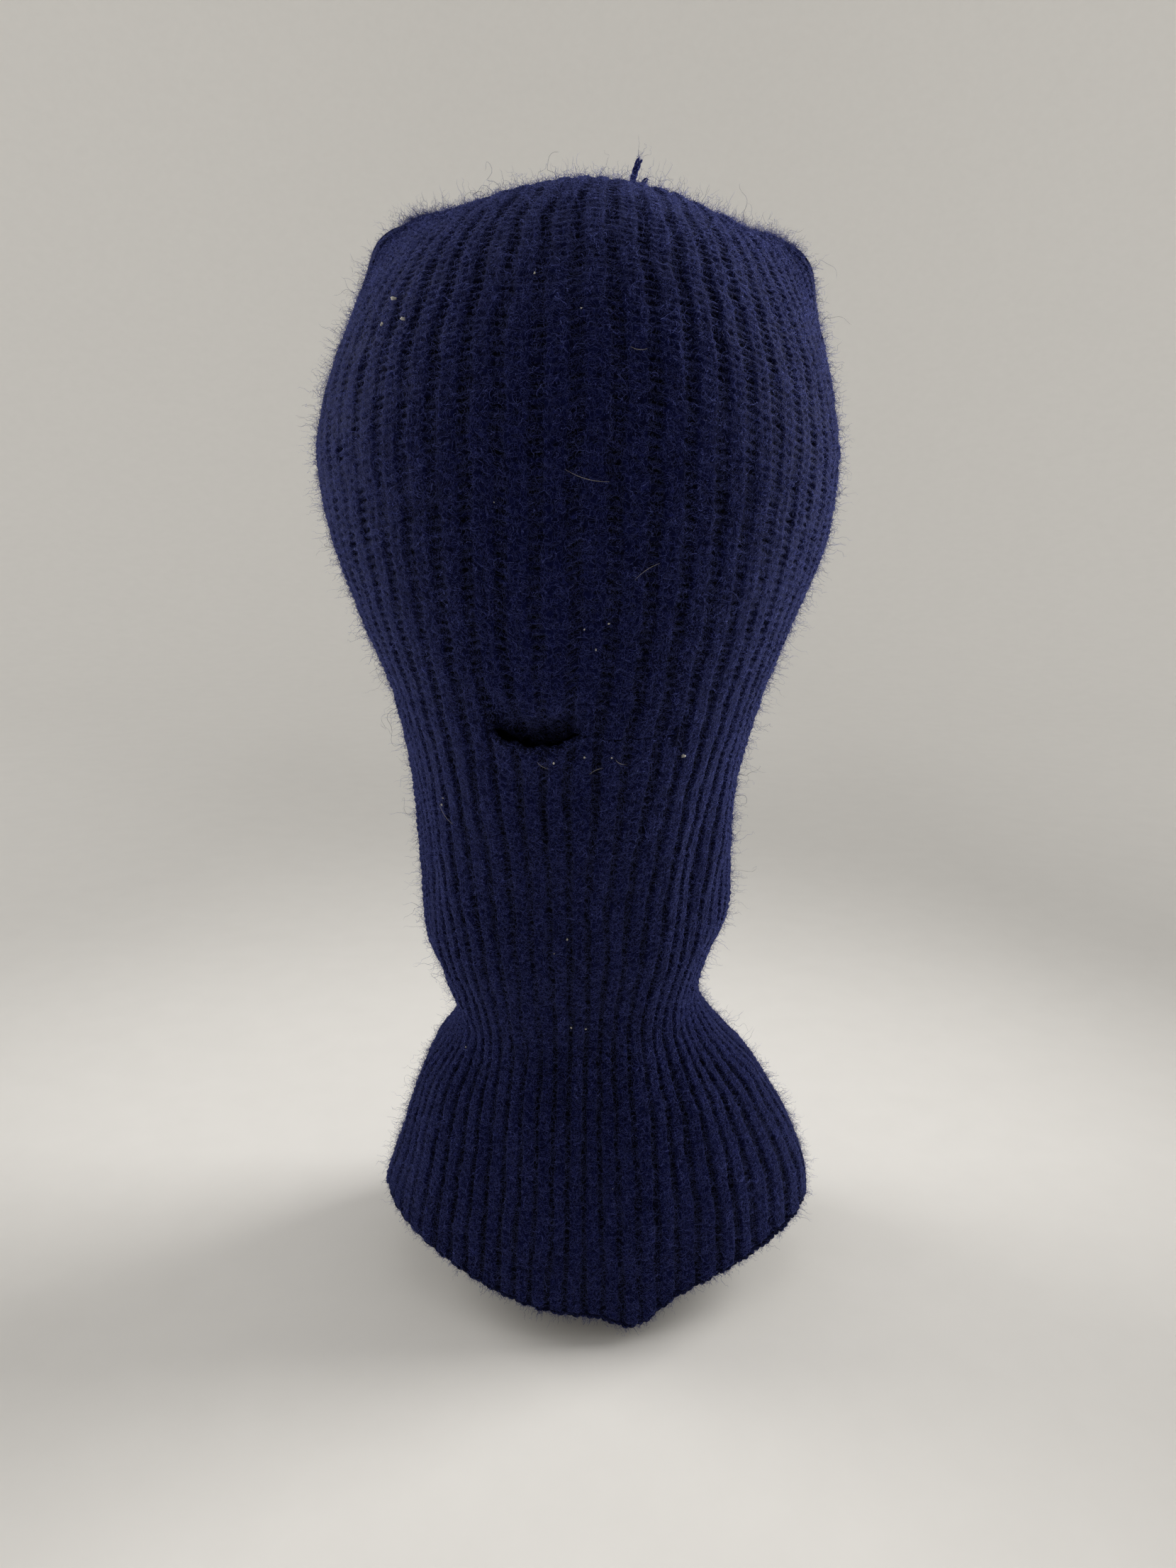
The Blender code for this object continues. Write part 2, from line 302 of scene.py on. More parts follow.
class Nodes:
    """A short way to write a material's node tree."""

    def __init__(self, name):
        self.material = bpy.data.materials.new(name)
        self.material.use_nodes = True
        self.tree = self.material.node_tree
        self.shader = self.tree.nodes["Principled BSDF"]

    def add(self, kind, inputs=None, **settings):
        node = self.tree.nodes.new(kind)
        for key, value in settings.items():
            setattr(node, key, value)
        for key, value in (inputs or {}).items():
            if isinstance(value, bpy.types.NodeSocket):
                self.tree.links.new(value, node.inputs[key])
            else:
                node.inputs[key].default_value = value
        return node

    def math(self, operation, a, b=0.0, clamp=False):
        return self.add("ShaderNodeMath", {0: a, 1: b}, operation=operation, use_clamp=clamp).outputs[0]

    def noise(self, vector, scale, detail=2.0, distortion=0.0):
        inputs = {"Vector": vector, "Scale": scale, "Detail": detail, "Distortion": distortion}
        return self.add("ShaderNodeTexNoise", inputs).outputs["Fac"]

    def ramp(self, factor, stops):
        node = self.add("ShaderNodeValToRGB", {"Fac": factor})
        elements = node.color_ramp.elements
        while len(elements) < len(stops):
            elements.new(0.5)
        for element, (place, colour) in zip(elements, stops):
            element.position = place
            element.color = (*colour, 1.0)
        return node.outputs["Color"]

    def mix(self, factor, a, b):
        node = self.add("ShaderNodeMix", {0: factor, 6: a, 7: b}, data_type="RGBA")
        return node.outputs[2]

    def fibre_lines(self, vector, scale, width):
        """Thin curly lines, like stray fibres: where a distorted noise passes its middle value."""
        value = self.noise(vector, scale, 1.5, 1.2)
        away = self.math("ABSOLUTE", self.math("SUBTRACT", value, 0.5))
        return self.math("SUBTRACT", 1.0, self.math("DIVIDE", away, width), clamp=True)

    def finish(self, colour, roughness, sheen=0.0, bump=None, bump_distance=0.0):
        tree, shader = self.tree, self.shader
        if isinstance(colour, bpy.types.NodeSocket):
            tree.links.new(colour, shader.inputs["Base Color"])
        else:
            shader.inputs["Base Color"].default_value = (*colour, 1.0)
        if isinstance(roughness, bpy.types.NodeSocket):
            tree.links.new(roughness, shader.inputs["Roughness"])
        else:
            shader.inputs["Roughness"].default_value = roughness
        shader.inputs["Sheen Weight"].default_value = sheen
        shader.inputs["Sheen Roughness"].default_value = SHEEN_ROUGHNESS
        shader.inputs["Sheen Tint"].default_value = (*SHEEN_TINT, 1.0)
        shader.inputs["Specular IOR Level"].default_value = SPECULAR
        if bump is not None:
            node = self.add("ShaderNodeBump", {"Height": bump, "Distance": bump_distance})
            tree.links.new(node.outputs["Normal"], shader.inputs["Normal"])
        return self.material


NAVY_DEEP = (0.0003, 0.0005, 0.0038)
NAVY_DARK = (0.0009, 0.0014, 0.0130)
NAVY = (0.0028, 0.0042, 0.0340)
NAVY_LIGHT = (0.016, 0.021, 0.115)


def knit_material(name):
    """Wool knit: painted shade darkens the holes, rib valleys and the slit's tuck, following the knit
    attribute; the faces of the stitches carry loose fibres.
    """
    n = Nodes(name)
    place = n.add("ShaderNodeTexCoord").outputs["Object"]
    # The knit attribute is painted shade, low in holes, slots, valleys and the slit's tuck; the patch
    # and mottle noises are the wool's own uneven tone.
    depth = n.add("ShaderNodeAttribute", attribute_name="knit").outputs["Fac"]
    patch = n.noise(place, 28.0, 3.0)
    mottle = n.noise(place, 420.0, 3.0, 0.6)
    fine = n.noise(place, 1900.0, 2.0, 0.4)
    coarse_lines, fine_lines = n.fibre_lines(place, 330.0, 0.022), n.fibre_lines(place, 560.0, 0.03)
    lines = n.math("MAXIMUM", coarse_lines, fine_lines)
    level = n.math("ADD", depth, n.math("MULTIPLY", n.math("SUBTRACT", mottle, 0.5), 0.9))
    level = n.math("ADD", level, n.math("MULTIPLY", n.math("SUBTRACT", patch, 0.5), 0.5), clamp=True)
    body = n.ramp(level, ((0.05, NAVY_DEEP), (0.45, NAVY_DARK), (0.95, NAVY)))
    # The fibre lines fade into the painted shade of the holes.
    painted_shade_on_lines = n.math("ADD", n.math("MULTIPLY", depth, 0.9), 0.05)
    shown = n.math("MULTIPLY", lines, painted_shade_on_lines, clamp=True)
    colour = n.mix(shown, body, (*NAVY_LIGHT, 1.0))
    roughness = n.math("ADD", n.math("MULTIPLY", fine, 0.25), 0.75, clamp=True)
    grain = n.math("ADD", mottle, n.math("MULTIPLY", fine, 0.5))
    height = n.math("ADD", n.math("MULTIPLY", lines, 0.6), grain)
    return n.finish(colour, roughness, 0.5, height, 0.0005)


def yarn_material(name, light=1.0):
    """Spun yarn of a seam or edge: fibres along a twist, lighter on the strands' backs."""
    n = Nodes(name)
    place = n.add("ShaderNodeTexCoord").outputs["Object"]
    along = n.add("ShaderNodeAttribute", attribute_name="twist").outputs["Fac"]
    mottle = n.noise(place, 700.0, 3.0, 0.8)
    lines = n.fibre_lines(place, 620.0, 0.035)
    winding = n.math("ADD", n.math("MULTIPLY", along, 40.0), n.math("MULTIPLY", mottle, 5.0))
    strand = n.math("SINE", winding)
    level = n.math("ADD", n.math("MULTIPLY", strand, 0.18), mottle, clamp=True)
    stops = ((0.15, NAVY_DEEP), (0.5, NAVY_DARK), (0.9, NAVY))
    # light multiplies every colour; above 1 it is painted light, as on the crown's tail.
    body = n.ramp(level, [(at, tuple(light * c for c in colour)) for at, colour in stops])
    colour = n.mix(n.math("MULTIPLY", lines, 0.5), body, (*NAVY_LIGHT, 1.0))
    roughness = n.math("ADD", n.math("MULTIPLY", mottle, 0.3), 0.7, clamp=True)
    height = n.math("ADD", n.math("MULTIPLY", strand, 0.5), n.math("ADD", mottle, lines))
    return n.finish(colour, roughness, 0.12, height, 0.0004)


def fibre_material(name, colour):
    """One loose fibre's colour; the nap's variation comes from mixing several shades of fibre."""
    return Nodes(name).finish(colour, 0.55, 0.9)


# ---------------- the two knitted panels

RIBS = 30
PER_RIB = 12
COLUMNS = RIBS * PER_RIB
PER_COURSE = 4
UPPER_COURSES = 81
LOWER_COURSES = 78
INNER_COLUMNS, INNER_ROWS = 3, 4
SLIT_FIRST = round((SLIT_LEFT + RIGHT) / math.pi * COLUMNS)
SLIT_LAST = round((SLIT_RIGHT + RIGHT) / math.pi * COLUMNS)
LIP_CUT = 0.0011
LIP_OVERLAP = 0.0035
TUCK_DEPTH = 0.0092
TUCK_REACH = 0.019
LIP_PROUD = 0.0020
SEAM_COVER = 0.0011
INSIDE_SHADE = 0.35

TURNS = np.linspace(-RIGHT, RIGHT, COLUMNS + 1)
UPPER_ROWS = UPPER_COURSES * PER_COURSE
LOWER_ROWS = LOWER_COURSES * PER_COURSE


def respace(line, count):
    """Each column's polyline (points, columns, 3) cut into equal lengths, from top to bottom."""
    steps = np.linalg.norm(np.diff(line, axis=0), axis=2)
    travelled = np.concatenate((np.zeros((1, line.shape[1])), np.cumsum(steps, axis=0)))
    out = np.empty((count + 1, line.shape[1], 3))
    for j in range(line.shape[1]):
        at = np.linspace(0, travelled[-1, j], count + 1)
        for k in range(3):
            out[:, j, k] = np.interp(at, travelled[:, j], line[:, j, k])
    return out


def panel_surface(face, inset):
    """The panel's smooth surface above the slit line and below it, in rows from the ridge down.

    Where the slit stands open, the upper part ends lower than the lower part begins.
    """
    inside = (TURNS > SLIT_LEFT + 1e-6) & (TURNS < SLIT_RIGHT - 1e-6) & (face == FRONT)
    open_, near = gape(TURNS)
    open_ = np.where(inside, open_, 0.0)
    cut = np.where(inside, LIP_CUT * (0.3 + 0.7 * np.sqrt(open_)), 0.0)
    middle = SLIT_HEIGHT + np.where(face == FRONT, LIP_RISE * near, 0.0)
    upper_end = middle + cut - (LIP_SAG + LIP_OVERLAP + LIP_CUT) * open_
    lower_start = middle - cut - LIP_SAG * open_
    parts = np.linspace(0, 1, 161)[:-1, None]
    crown = crown_point(np.broadcast_to(TURNS, (160, COLUMNS + 1)), face, parts + 0 * TURNS, inset)
    fall = np.linspace(0, 1, 101)[:, None]
    hood = section_point(TURNS + 0 * fall, face, SHOULDER + (upper_end - SHOULDER) * fall, inset)
    upper = respace(np.concatenate((crown, hood)), UPPER_ROWS)
    fall = np.linspace(0, 1, 261)[:, None]
    foot = hem_height(TURNS, face)
    bib = section_point(TURNS + 0 * fall, face, lower_start + (foot - lower_start) * fall, inset)
    lower = respace(bib, LOWER_ROWS)
    return upper, lower


def normals_of(grid, face):
    """Outward normals of a grid whose columns run to the right and rows downwards."""
    across = np.gradient(grid, axis=1)
    down = np.gradient(grid, axis=0)
    return unit(np.cross(down, across) * -face)


def relief(face):
    """The knit's height over the smooth surface, in metres, and its place from hole (0) to top (1),
    which the wool's colour follows as painted shade.

    Two knit wales and one purl wale make a rib: knit wales stand as chains of V, and the purl wale
    lies back between them as a ladder of bars with a deep slot under each, dark with painted shade.
    """
    rows = UPPER_ROWS + LOWER_ROWS + 1
    shape = (rows, COLUMNS + 1)
    seed = 10 if face == FRONT else 40
    down = np.arange(rows)[:, None] / PER_COURSE
    rib = np.arange(COLUMNS + 1)[None, :] / PER_RIB
    edge = np.minimum(rib, RIBS - rib)
    free = smoothstep(edge, 0.0, 1.0)
    wander = 0.30 * noise(shape, (12, 12), seed) + 0.16 * noise(shape, (70, 34), seed + 1)
    rib = rib + free * wander
    course = down + 0.55 * noise(shape, (24, 9), seed + 2) + 0.35 * noise(shape, (60, 60), seed + 3)
    hood = 1 - smoothstep(down, UPPER_COURSES - 10, UPPER_COURSES + 8)
    part = rib % 1.0
    beside = np.minimum(part, 1 - part)
    valley = 0.15 + 0.035 * hood + 0.03 * noise(shape, (40, 30), seed + 4)
    band = np.clip((beside - valley) / (0.5 - valley), 0, 1)
    leg = np.abs(band - 0.5) * 2
    stitch = (rows // PER_COURSE, RIBS * 3)
    vary = 1 + 0.7 * noise(shape, stitch, seed + 5)
    bump = 0.5 + 0.5 * np.cos(2 * math.pi * (course + 0.42 * leg))
    profile = 0.45 + 0.55 * np.sin(math.pi * leg) ** 0.8
    knit = profile * (0.45 + 0.55 * bump) * vary
    between = (0.5 - 0.5 * np.cos(2 * math.pi * (course + 0.1))) ** 2
    open_here = 0.5 + 1.1 * noise(shape, stitch, seed + 7)
    dots = np.exp(-(((band - 1.0) / 0.22) ** 2)) * between * open_here.clip(0, 1)
    knit = knit - dots * (0.5 + 0.7 * hood)
    slot_open = 0.62 + 0.9 * noise(shape, stitch, seed + 8) + 0.7 * noise(shape, (16, 14), seed + 10)
    slot_open = slot_open.clip(0.05, 1.2)
    bars = (0.5 + 0.5 * np.cos(2 * math.pi * (course + 0.5))) ** 0.7
    ladder = (0.25 + 0.10 * vary) * bars - (1 - bars) * slot_open * (0.50 + 1.20 * hood)
    ladder = ladder - (1 - hood) * (0.75 + 0.8 * noise(shape, (22, RIBS), seed + 11))
    rise = smoothstep(beside, valley - 0.06, valley + 0.05)
    height = ladder * (1 - rise) + knit * rise
    crease = (0.45 + 1.1 * noise(shape, (34, RIBS * 2), seed + 9)).clip(0, 1)
    height = height - crease * (0.35 + 0.75 * (1 - hood)) * np.exp(-(((beside - valley) / 0.045) ** 2))
    depth = 0.00080 * (1 + 0.30 * noise(shape, (26, 14), seed + 6))
    bound = smoothstep(np.minimum(edge, down / 3), 0.1, 1.1)
    height = height * (0.3 + 0.7 * bound)
    metres = (height - 1.05) * depth
    # Painted shade: the colour level follows the relief, low in holes, slots and valleys, high on the
    # stitches.
    shade = np.clip((height + 0.9) / 1.8, 0, 1)
    return metres, shade


# Soft creases of the front: angle, course down from the ridge, half width, half height, and how far out
CREASES = (
    (-72.0, 116.0, 26.0, 4.2, 0.0010), (-66.0, 122.0, 24.0, 3.4, -0.0010),
    (70.0, 108.0, 18.0, 4.6, 0.0011), (64.0, 115.0, 22.0, 3.6, -0.0010),
    (52.0, 96.0, 9.0, 8.0, 0.0014), (40.0, 101.0, 6.0, 8.0, -0.0012),
    (-40.0, 104.0, 8.0, 9.0, 0.0011), (-52.0, 100.0, 6.0, 8.0, -0.0010),
    (-30.0, 140.0, 7.0, 14.0, -0.0014), (10.0, 138.0, 5.0, 12.0, -0.0014),
    (30.0, 142.0, 8.0, 12.0, 0.0014),
)


def drape(face, rows, start):
    """Slow unevenness of stretched wool: shallow swells, and soft lengthways folds below the slit."""
    shape = (UPPER_ROWS + LOWER_ROWS + 1, COLUMNS + 1)
    seed = 70 if face == FRONT else 90
    down = np.linspace(0, 1, shape[0])[:, None]
    low = smoothstep(down, 0.5, 0.62)
    swell = 0.0010 * noise(shape, (9, 7), seed) + 0.0005 * noise(shape, (26, 20), seed + 1)
    folds = 0.0016 * low * noise(shape, (5, 22), seed + 2)
    edges = smoothstep(np.minimum(np.arange(shape[1]), COLUMNS - np.arange(shape[1])), 0, 14)
    push = (swell + folds) * edges
    if face == FRONT:
        course = np.arange(shape[0])[:, None] / PER_COURSE
        degrees = np.degrees(TURNS)[None, :]
        for turn, at, wide, tall, out in CREASES:
            push = push + out * np.exp(-(((degrees - turn) / wide) ** 2) - ((course - at) / tall) ** 2)
    return push[start:start + rows]


def make_panel(name, face, slot):
    """A closed sheet, with stitches outside and smoother ribs inside, and its outer face."""
    upper, lower = panel_surface(face, 0.0)
    normal_up, normal_low = normals_of(upper, face), normals_of(lower, face)
    heights, shade = relief(face)
    push_up = drape(face, UPPER_ROWS + 1, 0)
    push_low = drape(face, LOWER_ROWS + 1, UPPER_ROWS)
    if face == FRONT:
        open_, _ = gape(TURNS)
        above = upper[-1:, :, 2] - upper[:, :, 2]
        tuck = TUCK_DEPTH * np.sqrt(open_) * (1 - smoothstep(-above, 0.0, TUCK_REACH)) ** 1.5
        push_up = push_up - tuck
        # Painted shade: deep in the tuck behind the slit's lower lip the knit's colour level falls, as
        # the recess would be in shadow; fewer nap fibres grow there too.
        shade[:UPPER_ROWS + 1] *= 1 - 0.95 * smoothstep(tuck / TUCK_DEPTH, 0.2, 0.75)
        below = lower[:1, :, 2] - lower[:, :, 2]
        push_low = push_low + LIP_PROUD * np.sqrt(open_) * (1 - smoothstep(below, 0.0, 0.012))
    inner_up, inner_low = panel_surface(face, FABRIC)
    columns = np.arange(COLUMNS + 1)
    near_side = 1 - smoothstep(np.minimum(columns, COLUMNS - columns), 0, 9)[None, :]
    near_ridge = 1 - smoothstep(np.arange(UPPER_ROWS + 1), 0, 7)[:, None]
    closing = np.maximum(near_side, near_ridge)
    inner_ribs = 0.0005 * np.cos(2 * math.pi * np.arange(0, COLUMNS + 1, INNER_COLUMNS) / PER_RIB)
    grids = []
    for surface, normal, push, inner, h in (
        (upper, normal_up, push_up, inner_up, heights[:UPPER_ROWS + 1]),
        (lower, normal_low, push_low, inner_low, heights[UPPER_ROWS:]),
    ):
        outer = surface + normal * (push + h)[..., None]
        outer[..., 1] -= face * SEAM_COVER * (closing if surface is upper else near_side)
        pick = (slice(None, None, INNER_ROWS), slice(None, None, INNER_COLUMNS))
        under = inner[pick] + normal[pick] * (push[pick] - inner_ribs)[..., None]
        grids.append((blunt(outer), blunt(under)))
    (outer_up, under_up), (outer_low, under_low) = grids
    apart = np.zeros(COLUMNS + 1, bool)
    if face == FRONT:
        apart[SLIT_FIRST + 1:SLIT_LAST] = True
    blend = 0.5 * (outer_up[-1] + outer_low[0])
    outer_up[-1, ~apart] = outer_low[0, ~apart] = blend[~apart]
    apart_in = apart[::INNER_COLUMNS]
    blend = 0.5 * (under_up[-1] + under_low[0])
    under_up[-1, ~apart_in] = under_low[0, ~apart_in] = blend[~apart_in]

    verts, count = [], 0

    def number(grid):
        nonlocal count
        index = count + np.arange(grid.shape[0] * grid.shape[1]).reshape(grid.shape[:2])
        verts.append(grid.reshape(-1, 3))
        count += grid.shape[0] * grid.shape[1]
        return index

    up, low = number(outer_up), number(outer_low)
    in_up, in_low = number(under_up), number(under_low)
    low[0, ~apart] = up[-1, ~apart]
    in_low[0, ~apart_in] = in_up[-1, ~apart_in]
    quads = []
    for index, outside in ((up, True), (low, True), (in_up, False), (in_low, False)):
        a, b = index[:-1, :-1], index[:-1, 1:]
        c, d = index[1:, 1:], index[1:, :-1]
        turn = (a, d, c, b) if outside == (face == FRONT) else (a, b, c, d)
        quads.append(np.stack(turn, -1).reshape(-1, 4))
    rims = {}

    def rim(fine, coarse, step, flip):
        """Closes the edge between the fine outer surface and the coarse inner one."""
        for i in range(len(coarse) - 1):
            face_ = list(fine[i * step:(i + 1) * step + 1]) + [coarse[i + 1], coarse[i]]
            if flip:
                face_.reverse()
            rims.setdefault(len(face_), []).append(face_)

    front = face == FRONT
    rim(up[0], in_up[0], INNER_COLUMNS, not front)
    rim(low[-1], in_low[-1], INNER_COLUMNS, front)
    for column, flip in ((0, front), (-1, not front)):
        rim(up[:, column], in_up[:, column], INNER_ROWS, flip)
        rim(low[:, column], in_low[:, column], INNER_ROWS, flip)
    if front:
        part = slice(SLIT_FIRST, SLIT_LAST + 1)
        part_in = slice(SLIT_FIRST // INNER_COLUMNS, SLIT_LAST // INNER_COLUMNS + 1)
        rim(up[-1, part], in_up[-1, part_in], INNER_COLUMNS, True)
        rim(low[0, part], in_low[0, part_in], INNER_COLUMNS, False)
    rims = [np.array(faces) for faces in rims.values()]
    points = np.concatenate(verts)
    inside = np.full(under_up[..., 0].size + under_low[..., 0].size, INSIDE_SHADE)
    level = np.concatenate((shade[:UPPER_ROWS + 1].ravel(), shade[UPPER_ROWS:].ravel(), inside))
    used, packed = np.unique(np.concatenate([f.ravel() for f in quads + rims]), return_inverse=True)
    faces, at = [], 0
    for group in quads + rims:
        faces.append(packed[at:at + group.size].reshape(group.shape))
        at += group.size
    piece = make_piece(
        name, points[used], faces, knit_material(name + "_wool"), slot,
        replaces=(slot,), attributes={"knit": level[used]},
    )
    surface = {
        "point": np.concatenate((outer_up, outer_low)),
        "normal": np.concatenate((normal_up, normal_low)),
        "level": np.concatenate((shade[:UPPER_ROWS + 1], shade[UPPER_ROWS:])),
    }
    return piece, surface


front_knit, front_surface = make_panel("front_knit", FRONT, "front_panel")
back_knit, back_surface = make_panel("back_knit", BACK, "back_panel")

# ---------------- yarns: seams, edges, tacks and tail


def tube(points, radii, sides):
    """Vertices, faces and a twist coordinate of one round strand along the points, with closed ends."""
    points = np.asarray(points, float)
    tangent = unit(np.gradient(points, axis=0))
    side = unit(np.cross(tangent[0], (0.31, 0.83, 0.47)))
    frames = []
    for t in tangent:
        side = unit(side - t * (side @ t))
        frames.append((side, np.cross(t, side)))
    turn = np.arange(sides) / sides * 2 * math.pi
    a = np.array([f[0] for f in frames])[:, None]
    b = np.array([f[1] for f in frames])[:, None]
    ring = np.cos(turn)[None, :, None] * a + np.sin(turn)[None, :, None] * b
    verts = points[:, None] + ring * np.broadcast_to(radii, len(points))[:, None, None]
    index = np.arange(len(points) * sides).reshape(len(points), sides)
    nxt = np.roll(index, -1, axis=1)
    quads = np.stack((index[:-1], nxt[:-1], nxt[1:], index[1:]), -1).reshape(-1, 4)
    caps = np.stack((index[0][::-1], index[-1]))
    travelled = np.concatenate(([0.0], np.cumsum(np.linalg.norm(np.diff(points, axis=0), axis=1))))
    twist = (travelled[:, None] * 60.0 + turn[None, :] / (2 * math.pi)).ravel()
    return verts.reshape(-1, 3), quads, caps, twist


def spaced(points, step):
    """The same polyline in equal steps."""
    points = np.asarray(points, float)
    travelled = np.concatenate(([0.0], np.cumsum(np.linalg.norm(np.diff(points, axis=0), axis=1))))
    at = np.linspace(0, travelled[-1], max(3, round(travelled[-1] / step)))
    return np.stack([np.interp(at, travelled, points[:, k]) for k in range(3)], -1)


def plied(points, spread, radius, pitch, plies=2, sides=8, phase=0.0, loosen=None):
    """Strands wound round one another along the points.

    loosen makes a loose end: slim where it leaves the seam, fuller in the middle, parting at its tip.
    """
    line = spaced(points, 0.00045)
    tangent = unit(np.gradient(line, axis=0))
    side = unit(np.cross(tangent[0], (0.2, 0.9, 0.35)))
    travelled = np.arange(len(line)) * np.linalg.norm(line[1] - line[0])
    sides_, ups = [], []
    for t in tangent:
        side = unit(side - t * (side @ t))
        sides_.append(side)
        ups.append(np.cross(t, side))
    sides_, ups = np.array(sides_), np.array(ups)
    share = np.linspace(0, 1, len(line))
    strands = []
    for k in range(plies):
        turn = 2 * math.pi * (travelled / pitch + k / plies) + phase
        swell, wide = 1.0, spread * np.ones(len(line))
        if loosen:
            swell = 0.5 + 0.6 * np.sin(math.pi * (0.85 * share + 0.1))
            wide = spread * swell + loosen * smoothstep(share, 0.55, 1.0)
        path = line + (np.cos(turn)[:, None] * sides_ + np.sin(turn)[:, None] * ups) * wide[:, None]
        lumps = 0.10 * np.sin(travelled * 2100 + k * 2.1) + 0.06 * np.sin(travelled * 5300 + k)
        thick = radius * (1 + lumps)
        strands.append(tube(path, thick * swell, sides))
    return strands


def make_yarn(name, node, strands):
    """One piece of all the strands, in place of the CAD node."""
    verts, faces = joined(strand[:3] for strand in strands)
    material = yarn_material(name + "_yarn", TAIL_PAINTED_LIGHT if node == "crown_yarn_tail" else 1.0)
    twist = np.concatenate([strand[3] for strand in strands])
    return make_piece(
        name, verts, faces, material, node, replaces=(node,), attributes={"twist": twist}
    )


SEAM_DEPTH = 0.0021
# Painted light: the crown's tail yarn is coloured this many times lighter, standing in for light falling
# on it.
TAIL_PAINTED_LIGHT = 9.0


def side_line(angle):
    """From the ear down to the hem, on the seam's plane."""
    parts = np.linspace(0.05, 1, 60)
    crown = crown_point(np.full(60, angle), FRONT, parts, SEAM_DEPTH)
    foot = float(hem_height(angle, FRONT)) + CLEARANCE
    fall = np.linspace(SHOULDER, foot, 160)[1:]
    points = np.concatenate((crown, section_point(np.full(len(fall), angle), FRONT, fall, SEAM_DEPTH)))
    points[:, 1] = 0.0
    return blunt(points)


def crown_line(angle):
    """From an ear up to the apex, on the seam's plane."""
    points = ridge_point(np.linspace(angle, 0, 80), FRONT, SEAM_DEPTH)
    points[:, 1] = 0.0
    return blunt(points)[:-1]


def hem_line(face):
    """Along one panel's hem, with a small scallop for each rib, up to the side seams."""
    turns = np.linspace(-RIGHT, RIGHT, 361)
    scallop = 0.00035 * np.cos(turns / math.pi * RIBS * 2 * math.pi)
    heights = hem_height(turns, face) - HEM_RADIUS * 0.62 + scallop
    points = section_point(turns, face, heights, FABRIC * 0.55)
    ends = points[[0, -1]] * (1, 0.2, 1)
    return np.concatenate((ends[:1], points, ends[1:]))


def lip_line(surface, row, lift, inward):
    """Along a lip of the slit, on the panel's own cut edge, and further in where the lips meet."""
    part = slice(SLIT_FIRST + 2, SLIT_LAST - 1)
    points = surface["point"][row, part].copy()
    shut = (1 - np.sqrt(gape(TURNS[part])[0]))[:, None]
    points[:, 2] += lift - np.sign(lift) * 0.7 * LIP_CUT * shut[:, 0]
    return points - surface["normal"][row, part] * (inward + 0.0008 * shut)


def tack_line(angle):
    """A short upright bar at one end of the slit."""
    heights = SLIT_HEIGHT + np.array((0.0029, 0.001, -0.001, -0.0029))
    return section_point(np.full(4, angle), FRONT, heights, FABRIC * 0.42)


# How far the plies stand from the yarn's middle, each one's radius, and the length of one turn
SEAM_YARN = (0.0005, 0.0007, 0.0048)
LIP_YARN = (0.00042, 0.0006, 0.0042)
TACK_YARN = (0.00045, 0.0006, 0.003)
HEM_YARN = (0.00055, 0.00075, 0.0050)
UPPER_LIP = lip_line(front_surface, UPPER_ROWS, -0.0004, 0.0006)
LOWER_LIP = lip_line(front_surface, UPPER_ROWS + 1, 0.0004, 0.0005)
LOWER_LIP_EDGE = lip_line(front_surface, UPPER_ROWS + 1, 0.0004, 0.0)
YARNS = {
    "crown_seam_left": plied(crown_line(-RIGHT), *SEAM_YARN),
    "crown_seam_right": plied(crown_line(RIGHT), *SEAM_YARN, phase=1.0),
    "side_seam_left": plied(side_line(-RIGHT), *SEAM_YARN),
    "side_seam_right": plied(side_line(RIGHT), *SEAM_YARN, phase=2.0),
    "slit_upper_edge": plied(UPPER_LIP, *LIP_YARN),
    "slit_lower_edge": plied(LOWER_LIP, *LIP_YARN),
    "slit_tack_left": plied(tack_line(SLIT_LEFT), *TACK_YARN),
    "slit_tack_right": plied(tack_line(SLIT_RIGHT), *TACK_YARN),
    "hem_edge_front": plied(hem_line(FRONT), *HEM_YARN),
    "hem_edge_back": plied(hem_line(BACK), *HEM_YARN),
}


def tail_line(start, rise, lean):
    """One end of the crown's yarn, from between the panels up, leaning to the right."""
    part = (TAIL_X + start - APEX[0]) / (EAR_RIGHT[0] - APEX[0])
    foot = ridge_point(part * RIGHT, FRONT, FABRIC / 2)
    foot[1] = 0.0
    share = np.linspace(0, 1, 30)
    return foot + np.stack((lean * share**1.3, 0 * share, SEAM_RADIUS + rise * share), -1)


TAIL = [tail_line(0.0, TAIL_LENGTH * 0.84, 0.0028), tail_line(0.0012, TAIL_LENGTH * 0.40, 0.0040)]
YARNS["crown_yarn_tail"] = (
    plied(TAIL[0], 0.00044, 0.00050, 0.0065, plies=3, loosen=0.0004)
    + plied(TAIL[1], 0.00026, 0.00036, 0.0050, plies=2, loosen=0.0003)
)
for node, strands in YARNS.items():
    make_yarn(node + "_yarn", node, strands)

# ---------------- loose fibres


